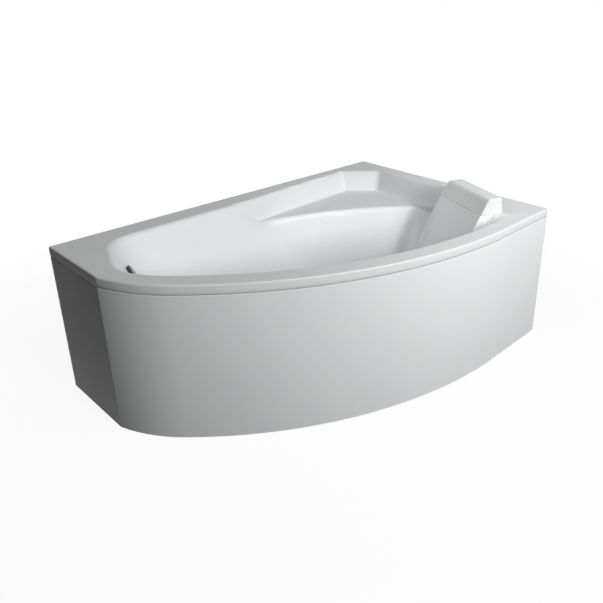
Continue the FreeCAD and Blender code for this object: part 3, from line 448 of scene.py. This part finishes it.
def cutterMesh(name, cuts):
    # plain round cutters, each (centre, axis, radius, reach), in millimetres
    vertices, faces = [], []
    sides = holes["sides"]
    for centre, axis, radius, reach in cuts:
        turn = Vector((0, 0, 1)).rotation_difference(Vector(axis)).to_matrix()
        start = len(vertices)
        for level in (-reach, reach):
            for step in range(sides):
                angle = 2 * math.pi * step / sides
                point = Vector((radius * math.cos(angle), radius * math.sin(angle), level))
                vertices.append(Vector(centre) + turn @ point)
        for step in range(sides):
            after = (step + 1) % sides
            faces.append((start + step, start + after, start + sides + after, start + sides + step))
        faces.append(tuple(start + step for step in reversed(range(sides))))
        faces.append(tuple(start + sides + step for step in range(sides)))
    return makeMesh(name, vertices, faces, smooth=False)


def finishShell(item):
    thick = item.modifiers.new("thickness", "SOLIDIFY")
    thick.thickness = shell["wall"] * mm
    thick.offset = -1
    thick.use_rim = True
    thick.material_offset = 1
    bakeModifiers(item)
    upwards = (0, 0, 1)
    floor = outline["rim"] - bowl["depth"]
    cuts = [((*holes["drain"], floor), upwards, holes["drainRadius"], holes["drainReach"]),
            (holes["overflow"], holes["overflowAxis"], holes["overflowRadius"], holes["overflowReach"])]
    middle = shell["restStart"] - shell["restWidth"] / 2
    for side in (-0.5, 0.5):
        peg = skewed(holes["pegAlong"], middle + side * holes["pegPitch"])
        cuts.append(((*peg, outline["rim"]), upwards, holes["pegRadius"], holes["pegReach"]))
    cutter = cutterMesh("shellCutter", cuts)
    tool = item.modifiers.new("holes", "BOOLEAN")
    tool.operation = "DIFFERENCE"
    tool.object = cutter
    bakeModifiers(item)
    bpy.data.objects.remove(cutter)
    item.data.polygons.foreach_set("use_smooth", [True] * len(item.data.polygons))
    item.data.set_sharp_from_angle(angle=math.radians(shell["sharpAngle"]))


def satinLip(item, slotNumber):
    # the upright face of the rim has the panel's satin skin
    o = outline
    for face in item.data.polygons:
        x, y, z = (value / mm for value in face.center)
        if abs(face.normal.z) < shell["steep"] and z > o["rim"] - shell["lipHeight"]:
            inside = min(x - o["left"], o["right"] - x, o["wall"] - y, float(frontDistance(x, y)))
            if inside < shell["edgeRound"] / 3:
                face.material_index = slotNumber


panel = {
    "recess": 1.0, "skin": 3.5, "low": 3.0, "high": 543.0, "edge": 3.0, "edgeSteps": 4,
    "flange": 18.0, "flangeWall": 4.0, "flangeBreak": 0.6, "flangeRoot": 2.0,
    "narrowEnd": 522.0, "headEnd": 798.0, "arcSteps": (8, 72, 110),
    # rows on the straight parts, as shares of their lengths
    "narrowShares": (0.0, 0.33, 0.67), "headShares": (0.3, 0.6, 1.0), "sharpAngle": 40.0,
}


def panelRow(inset):
    # plan of the bowed sheet at one distance inside the rim outline
    bent = frontPoints(inset, panel["arcSteps"])
    firstY = bent[0][1]
    lastX = bent[-1][0]
    narrow = [(outline["left"] + inset, panel["narrowEnd"] * (1 - share) + firstY * share)
              for share in panel["narrowShares"]]
    head = [(lastX + (panel["headEnd"] - lastX) * share, outline["front"] + inset)
            for share in panel["headShares"]]
    return narrow + bent + head


def makePanel():
    p = panel
    under = p["high"] - p["flangeWall"]
    section = []
    for step in range(p["edgeSteps"] + 1):
        angle = math.pi / 2 * step / p["edgeSteps"]
        section.append((p["edge"] * (1 - math.cos(angle)), p["high"] - p["edge"] * (1 - math.sin(angle))))
    section += [(p["flange"] - p["flangeBreak"], p["high"]), (p["flange"], p["high"] - p["flangeBreak"])]
    section += [(p["flange"], under), (p["skin"] + p["flangeRoot"], under)]
    section += [(p["skin"], under - p["flangeRoot"])]
    # the lower half mirrors the upper one
    section += [(depth, p["low"] + p["high"] - level) for depth, level in reversed(section)]
    rows = [panelRow(p["recess"] + depth) for depth, level in section]
    count = len(rows[0])
    vertices = [(x, y, level) for row, (depth, level) in zip(rows, section) for x, y in row]
    faces = []
    loops = len(section)
    for k in range(loops):
        after = (k + 1) % loops
        for i in range(count - 1):
            faces.append((k * count + i, k * count + i + 1, after * count + i + 1, after * count + i))
    faces.append(tuple(k * count for k in range(loops)))
    faces.append(tuple(k * count + count - 1 for k in reversed(range(loops))))
    item = makeMesh("panelSheet", vertices, faces)
    bm = bmesh.new()
    bm.from_mesh(item.data)
    bmesh.ops.recalc_face_normals(bm, faces=bm.faces)
    bm.to_mesh(item.data)
    bm.free()
    item.data.set_sharp_from_angle(angle=math.radians(p["sharpAngle"]))
    return item


rest = {
    "width": shell["restWidth"], "height": 64.0, "depth": 66.0, "overhang": shell["restOverhang"],
    "gap": 0.05, "skirt": 0.8, "topRound": 9.0, "footRound": 0.3, "flatSteps": 10, "edgeSteps": 6,
    # the crown falls off with this power, above and in front of these shares of the half sizes
    "crown": 1.0, "crownPower": 4, "crownFrom": 0.6, "dishFrom": 0.7,
}


def makeHeadrest():
    r = rest
    half = (r["depth"] / 2 + r["overhang"] / 2, r["width"] / 2, r["height"] / 2)

    def places(reach):
        flat = reach - r["topRound"]
        run = [-flat + 2 * flat * i / r["flatSteps"] for i in range(r["flatSteps"] + 1)]
        edge = [flat + r["topRound"] * math.tan(math.pi / 4 * i / r["edgeSteps"])
                for i in range(1, r["edgeSteps"] + 1)]
        return [-e for e in reversed(edge)] + run + edge

    grid = [places(reach) for reach in half]
    bm = bmesh.new()
    known = {}

    def roundedPoint(i, j, k):
        # a point of the block's grid, moved on to its rounded edges
        q = Vector((grid[0][i], grid[1][j], grid[2][k]))
        radius = r["topRound"] if q.z > 0 else r["footRound"]
        core = Vector([max(-(h - radius), min(h - radius, c)) for h, c in zip(half, q)])
        out = q - core
        return core + out.normalized() * radius if out.length > 1e-6 else q

    def vertexAt(i, j, k):
        if (i, j, k) not in known:
            p = roundedPoint(i, j, k)
            fade = [1 - (abs(c) / h) ** r["crownPower"] for h, c in zip(half, p)]
            z = p.z
            if p.z > half[2] * r["crownFrom"]:
                z -= r["crown"] * (1 - fade[1] * fade[0])
            up = (z + half[2]) / (2 * half[2])
            # the front leans back over the full height, the rear stays upright
            frontX = -half[0] + r["overhang"] * up
            along = frontX + (p.x + half[0]) / (2 * half[0]) * (half[0] - frontX)
            if p.z < r["footRound"] - half[2] and p.x < r["footRound"] - half[0]:
                # a fine skirt hides the joint in front
                along -= r["skirt"] * r["overhang"] / r["height"]
                z -= r["skirt"]
            if p.x < -half[0] * r["dishFrom"]:
                along += r["crown"] * (1 - fade[1] * (fade[2] if p.z > 0 else 1))
            worldX, worldY = skewed(along + half[0] - r["overhang"], p.y + shell["restStart"] - half[1])
            level = outline["rim"] + r["gap"] + z + half[2]
            known[(i, j, k)] = bm.verts.new((worldX * mm, worldY * mm, level * mm))
        return known[(i, j, k)]

    last = [len(line) - 1 for line in grid]
    for axis in range(3):
        u, v = (axis + 1) % 3, (axis + 2) % 3
        for end in (0, last[axis]):
            for a in range(last[u]):
                for b in range(last[v]):
                    ring = []
                    for da, db in ((0, 0), (1, 0), (1, 1), (0, 1)):
                        spot = [0, 0, 0]
                        spot[axis], spot[u], spot[v] = end, a + da, b + db
                        ring.append(vertexAt(*spot))
                    bm.faces.new(ring if end else list(reversed(ring)))
    mesh = bpy.data.meshes.new("headrestPad")
    bmesh.ops.recalc_face_normals(bm, faces=bm.faces)
    bm.to_mesh(mesh)
    bm.free()
    mesh.polygons.foreach_set("use_smooth", [True] * len(mesh.polygons))
    item = bpy.data.objects.new("headrestPad", mesh)
    bpy.context.scene.collection.objects.link(item)
    return item


finishes = {
    "acrylic": {"base": (0.80, 0.81, 0.815), "shade": (0.775, 0.785, 0.79), "scale": 3.0,
                "rough": (0.30, 0.36), "bumpScale": 9.0, "bump": 0.02, "specular": 0.3},
    "panel": {"base": (0.80, 0.81, 0.815), "shade": (0.775, 0.785, 0.79), "scale": 2.0,
              "rough": (0.34, 0.42), "bumpScale": 7.0, "bump": 0.03, "specular": 0.05},
    "soft_pad": {"base": (0.79, 0.80, 0.80), "shade": (0.77, 0.78, 0.78), "scale": 12.0,
                 "rough": (0.30, 0.40), "bumpScale": 900.0, "bump": 0.03, "specular": 0.3},
    "glassFibre": {"base": (0.66, 0.66, 0.58), "shade": (0.50, 0.52, 0.44), "scale": 40.0,
                   "rough": (0.55, 0.8), "bumpScale": 160.0, "bump": 0.5},
    "frame_steel": {"base": (0.56, 0.58, 0.60), "shade": (0.42, 0.44, 0.46), "scale": 55.0,
                    "rough": (0.32, 0.52), "bumpScale": 300.0, "bump": 0.06, "metal": 1.0, "cells": True},
    "zinc_steel": {"base": (0.66, 0.66, 0.64), "shade": (0.55, 0.56, 0.55), "scale": 180.0,
                   "rough": (0.22, 0.36), "bumpScale": 700.0, "bump": 0.05, "metal": 1.0},
    "spring_steel": {"base": (0.44, 0.45, 0.47), "shade": (0.33, 0.34, 0.36), "scale": 140.0,
                     "rough": (0.28, 0.42), "bumpScale": 900.0, "bump": 0.05, "metal": 1.0},
    "chrome": {"base": (0.78, 0.79, 0.80), "shade": (0.74, 0.75, 0.76), "scale": 30.0,
               "rough": (0.05, 0.10), "bumpScale": 120.0, "bump": 0.01, "metal": 1.0},
    "dark_metal": {"base": (0.045, 0.05, 0.055), "shade": (0.03, 0.032, 0.036), "scale": 60.0,
                   "rough": (0.18, 0.30), "bumpScale": 500.0, "bump": 0.03, "metal": 0.6},
    "rubber": {"base": (0.035, 0.035, 0.036), "shade": (0.055, 0.054, 0.052), "scale": 90.0,
               "rough": (0.6, 0.8), "bumpScale": 1200.0, "bump": 0.12},
    "black_plastic": {"base": (0.035, 0.036, 0.038), "shade": (0.055, 0.055, 0.056), "scale": 70.0,
                      "rough": (0.42, 0.6), "bumpScale": 1500.0, "bump": 0.12},
    "grey_plastic": {"base": (0.40, 0.40, 0.41), "shade": (0.35, 0.35, 0.36), "scale": 60.0,
                     "rough": (0.4, 0.55), "bumpScale": 1300.0, "bump": 0.1},
    "white_plastic": {"base": (0.78, 0.78, 0.76), "shade": (0.72, 0.72, 0.70), "scale": 50.0,
                      "rough": (0.3, 0.45), "bumpScale": 900.0, "bump": 0.06},
}

timberLook = {
    "light": (0.62, 0.46, 0.28), "dark": (0.42, 0.27, 0.14), "band": (0.1, 0.8),
    "rings": 26.0, "wander": 9.0, "stretch": 0.06, "fibre": 420.0,
    "rough": (0.55, 0.78), "bump": 0.25, "bumpHeight": 0.0006,
}

boardLook = {
    "light": (0.58, 0.45, 0.29), "dark": (0.30, 0.21, 0.12), "band": (0.2, 0.7),
    "chips": 320.0, "haze": 60.0, "rough": (0.7, 0.9), "bump": 0.3, "bumpHeight": 0.0005,
}


def addNode(tree, kind, **values):
    node = tree.nodes.new(kind)
    for key, value in values.items():
        if key in node.inputs:
            node.inputs[key].default_value = value
        else:
            setattr(node, key, value)
    return node


def startMaterial(name):
    material = bpy.data.materials.new(name)
    material.use_nodes = True
    tree = material.node_tree
    return material, tree, tree.nodes["Principled BSDF"]


def texture(tree, kind, place, **values):
    node = addNode(tree, kind, **values)
    tree.links.new(place, node.inputs["Vector"])
    return node.outputs


def paint(tree, shader, factor, first, second, band=(0.35, 0.65)):
    # base colour between two tones
    ramp = addNode(tree, "ShaderNodeValToRGB")
    for element, position, tone in zip(ramp.color_ramp.elements, band, (first, second)):
        element.position = position
        element.color = (*tone, 1)
    tree.links.new(factor, ramp.inputs["Fac"])
    tree.links.new(ramp.outputs["Color"], shader.inputs["Base Color"])


def roughen(tree, shader, factor, low, high, band=(0.3, 0.7)):
    scaled = addNode(tree, "ShaderNodeMapRange", **{
        "From Min": band[0], "From Max": band[1], "To Min": low, "To Max": high})
    tree.links.new(factor, scaled.inputs["Value"])
    tree.links.new(scaled.outputs["Result"], shader.inputs["Roughness"])


def emboss(tree, shader, height, strength, distance=0.001):
    bump = addNode(tree, "ShaderNodeBump", Strength=strength, Distance=distance)
    tree.links.new(height, bump.inputs["Height"])
    tree.links.new(bump.outputs["Normal"], shader.inputs["Normal"])


def mouldedFinish(name, spec):
    material, tree, shader = startMaterial(name)
    place = addNode(tree, "ShaderNodeTexCoord").outputs["Object"]
    mottle = texture(tree, "ShaderNodeTexNoise", place, Scale=spec["scale"], Detail=4.0, Roughness=0.55)
    factor = mottle["Fac"]
    if spec.get("cells"):
        factor = texture(tree, "ShaderNodeTexVoronoi", place, Scale=spec["scale"])["Color"]
    paint(tree, shader, factor, spec["shade"], spec["base"])
    roughen(tree, shader, mottle["Fac"], *spec["rough"])
    fine = texture(tree, "ShaderNodeTexNoise", place, Scale=spec["bumpScale"], Detail=2.0)
    emboss(tree, shader, fine["Fac"], spec["bump"])
    shader.inputs["Metallic"].default_value = spec.get("metal", 0.0)
    shader.inputs["Specular IOR Level"].default_value = spec.get("specular", 0.5)
    return material


def timberFinish(name, spec):
    material, tree, shader = startMaterial(name)
    place = addNode(tree, "ShaderNodeTexCoord").outputs["Object"]
    stretched = texture(tree, "ShaderNodeMapping", place, Scale=(spec["stretch"], 1.0, 1.0))["Vector"]
    grain = texture(tree, "ShaderNodeTexWave", stretched,
                    Scale=spec["rings"], Distortion=spec["wander"], Detail=3.0)
    fibre = texture(tree, "ShaderNodeTexNoise", stretched, Scale=spec["fibre"], Detail=3.0)
    paint(tree, shader, grain["Fac"], spec["dark"], spec["light"], spec["band"])
    roughen(tree, shader, fibre["Fac"], *spec["rough"])
    emboss(tree, shader, fibre["Fac"], spec["bump"], spec["bumpHeight"])
    return material


def boardFinish(name, spec):
    material, tree, shader = startMaterial(name)
    place = addNode(tree, "ShaderNodeTexCoord").outputs["Object"]
    chips = texture(tree, "ShaderNodeTexVoronoi", place, Scale=spec["chips"])
    haze = texture(tree, "ShaderNodeTexNoise", place, Scale=spec["haze"], Detail=5.0)
    paint(tree, shader, chips["Color"], spec["dark"], spec["light"], spec["band"])
    roughen(tree, shader, haze["Fac"], *spec["rough"])
    emboss(tree, shader, chips["Distance"], spec["bump"], spec["bumpHeight"])
    return material


materials = {name: mouldedFinish(name, spec) for name, spec in finishes.items()}
materials["timber"] = timberFinish("timber", timberLook)
materials["board"] = boardFinish("board", boardLook)
print("materials:", len(materials))

# the shaped pieces take the place of three plain ones
skin = makeShell()
finishShell(skin)
skin.data.materials.clear()
for coat in ("acrylic", "glassFibre", "panel"):
    skin.data.materials.append(materials[coat])
satinLip(skin, 2)
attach(skin, "tub")
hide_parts("tub_shell")
print("shell:", len(skin.data.polygons), "faces")

sheet = makePanel()
sheet.data.materials.append(materials["panel"])
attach(sheet, "panel")
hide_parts("front_panel")
print("panel:", len(sheet.data.polygons), "faces")

pad = makeHeadrest()
pad.data.materials.append(materials["soft_pad"])
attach(pad, "headrest_block")
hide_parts("headrest")
print("headrest:", len(pad.data.polygons), "faces")

# every other piece keeps its own form, with small bevels where its material has them
replaced = {"tub_shell", "front_panel", "headrest"}
bevels = {
    "frame_steel": 1.2, "timber": 1.5, "board": 0.8, "zinc_steel": 0.6, "chrome": 0.5,
    "dark_metal": 1.2, "black_plastic": 1.5, "white_plastic": 1.0, "grey_plastic": 0.8,
}
bevelAngle = 50.0


def dressNode(item, slotName):
    item.data.materials.clear()
    item.data.materials.append(materials[slotName])
    width = bevels.get(slotName)
    if width:
        edge = item.modifiers.new("edges", "BEVEL")
        edge.width = width * mm
        edge.segments = 2
        edge.limit_method = "ANGLE"
        edge.angle_limit = math.radians(bevelAngle)
        edge.harden_normals = False


slotOf = {part["node"]: part["material_slot"] for part in frame["record"]["subparts"]}
for name, item in nodes.items():
    if name not in replaced:
        dressNode(item, slotOf[name])
print("nodes dressed:", len(slotOf) - len(replaced))

# lamps: place and aim in metres, power in watts, beam in degrees
room = {
    "floorHalf": 14000.0, "floorSteps": 8, "floorGlow": 0.92, "floorReach": (1.0, 2.6),
    "floorColour": (0.08, 0.08, 0.08), "floorMottle": 0.98, "floorRough": 0.9, "worldGlow": 0.03,
    "aim": (0, 0, 0.4), "beam": 180.0,
    "lamps": {
        "keyLight": {"at": (-0.2, -5.0, 2.75), "size": (1.2, 2.0), "power": 225.0},
        "nearLight": {"at": (0.55, -1.2, 1.7), "size": (0.7, 0.4), "power": 7.5},
        "backLight": {"at": (1.8, 5.0, 0.95), "size": (2.0, 1.2), "power": 75.0, "inGloss": False},
        "restLight": {"at": (-0.3, 0.35, 1.4), "size": (0.5, 0.5), "power": 0.6,
                      "aim": (0.62, -0.14, 0.45), "beam": 55.0},
    },
}


def seenDirectly(tree):
    # 1 for what the camera sees, also in a reflection or through glass, else 0
    rays = addNode(tree, "ShaderNodeLightPath").outputs
    seen = rays["Is Camera Ray"]
    for other in ("Is Glossy Ray", "Is Transmission Ray"):
        either = addNode(tree, "ShaderNodeMath", operation="MAXIMUM")
        tree.links.new(seen, either.inputs[0])
        tree.links.new(rays[other], either.inputs[1])
        seen = either.outputs[0]
    return seen


def makeFloor():
    half, steps = room["floorHalf"], room["floorSteps"]
    line = [-half + 2 * half * i / steps for i in range(steps + 1)]
    vertices = [(x, y, 0.0) for x in line for y in line]
    wide = steps + 1
    faces = [(i * wide + j, (i + 1) * wide + j, (i + 1) * wide + j + 1, i * wide + j + 1)
             for i in range(steps) for j in range(steps)]
    item = makeMesh("studioFloor", vertices, faces)
    material, tree, shader = startMaterial("paleFloor")
    shader.inputs["Roughness"].default_value = room["floorRough"]
    shader.inputs["Specular IOR Level"].default_value = 0.0
    grain = addNode(tree, "ShaderNodeTexNoise", Scale=3.0, Detail=3.0)
    tone = room["floorColour"]
    paint(tree, shader, grain.outputs["Fac"], [c * room["floorMottle"] for c in tone], tone)
    # the floor glows a little less under the tub than far away
    place = addNode(tree, "ShaderNodeTexCoord").outputs["Object"]
    away = addNode(tree, "ShaderNodeVectorMath", operation="LENGTH")
    tree.links.new(place, away.inputs[0])
    near, far = room["floorReach"]
    glow = addNode(tree, "ShaderNodeMapRange", interpolation_type="SMOOTHSTEP", **{
        "From Min": near, "From Max": far, "To Min": room["floorGlow"], "To Max": 1.0})
    tree.links.new(away.outputs["Value"], glow.inputs["Value"])
    level = addNode(tree, "ShaderNodeMath", operation="MULTIPLY")
    tree.links.new(seenDirectly(tree), level.inputs[0])
    tree.links.new(glow.outputs["Result"], level.inputs[1])
    tree.links.new(level.outputs[0], shader.inputs["Emission Strength"])
    shader.inputs["Emission Color"].default_value = (1, 1, 1, 1)
    item.data.materials.append(material)


def makeWorld():
    world = bpy.data.worlds.new("studioWorld")
    bpy.context.scene.world = world
    world.use_nodes = True
    tree = world.node_tree
    tree.nodes.clear()
    plain, white = (addNode(tree, "ShaderNodeBackground", Strength=strength, Color=(1, 1, 1, 1))
                    for strength in (room["worldGlow"], 1.0))
    mix = addNode(tree, "ShaderNodeMixShader")
    tree.links.new(seenDirectly(tree), mix.inputs["Fac"])
    tree.links.new(plain.outputs[0], mix.inputs[1])
    tree.links.new(white.outputs[0], mix.inputs[2])
    output = addNode(tree, "ShaderNodeOutputWorld")
    tree.links.new(mix.outputs[0], output.inputs["Surface"])


def makeLamp(name, spec):
    light = bpy.data.lights.new(name, "AREA")
    light.shape = "RECTANGLE"
    light.size, light.size_y = spec["size"]
    light.energy = spec["power"]
    light.spread = math.radians(spec.get("beam", room["beam"]))
    lamp = bpy.data.objects.new(name, light)
    lamp.location = spec["at"]
    aim = Vector(spec.get("aim", room["aim"])) - Vector(spec["at"])
    lamp.rotation_euler = aim.to_track_quat("-Z", "Y").to_euler()
    lamp.visible_camera = False
    lamp.visible_glossy = spec.get("inGloss", True)
    bpy.context.scene.collection.objects.link(lamp)


view = {
    "at": (-1.5308, -1.6535, 1.4425), "forward": (0.6742, 0.6301, -0.3853), "roll": 0.56,
    "sensor": 36, "lens": 37.77, "shiftX": -0.101, "shiftY": -0.0945,
}


def makeCamera():
    data = bpy.data.cameras.new("photoCamera")
    data.sensor_width = view["sensor"]
    data.lens = view["lens"]
    data.shift_x, data.shift_y = view["shiftX"], view["shiftY"]
    data.dof.use_dof = False
    camera = bpy.data.objects.new("photoCamera", data)
    forward = Vector(view["forward"]).normalized()
    right = forward.cross(Vector((0, 0, 1))).normalized()
    up = right.cross(forward)
    turn = Matrix((right, up, -forward)).transposed()
    roll = Matrix.Rotation(math.radians(view["roll"]), 3, "Z")
    camera.matrix_world = Matrix.Translation(view["at"]) @ (turn @ roll).to_4x4()
    bpy.context.scene.collection.objects.link(camera)
    bpy.context.scene.camera = camera


makeFloor()
makeWorld()
for name, spec in room["lamps"].items():
    makeLamp(name, spec)
makeCamera()
bpy.context.scene.view_settings.view_transform = "Standard"
print("room ready")
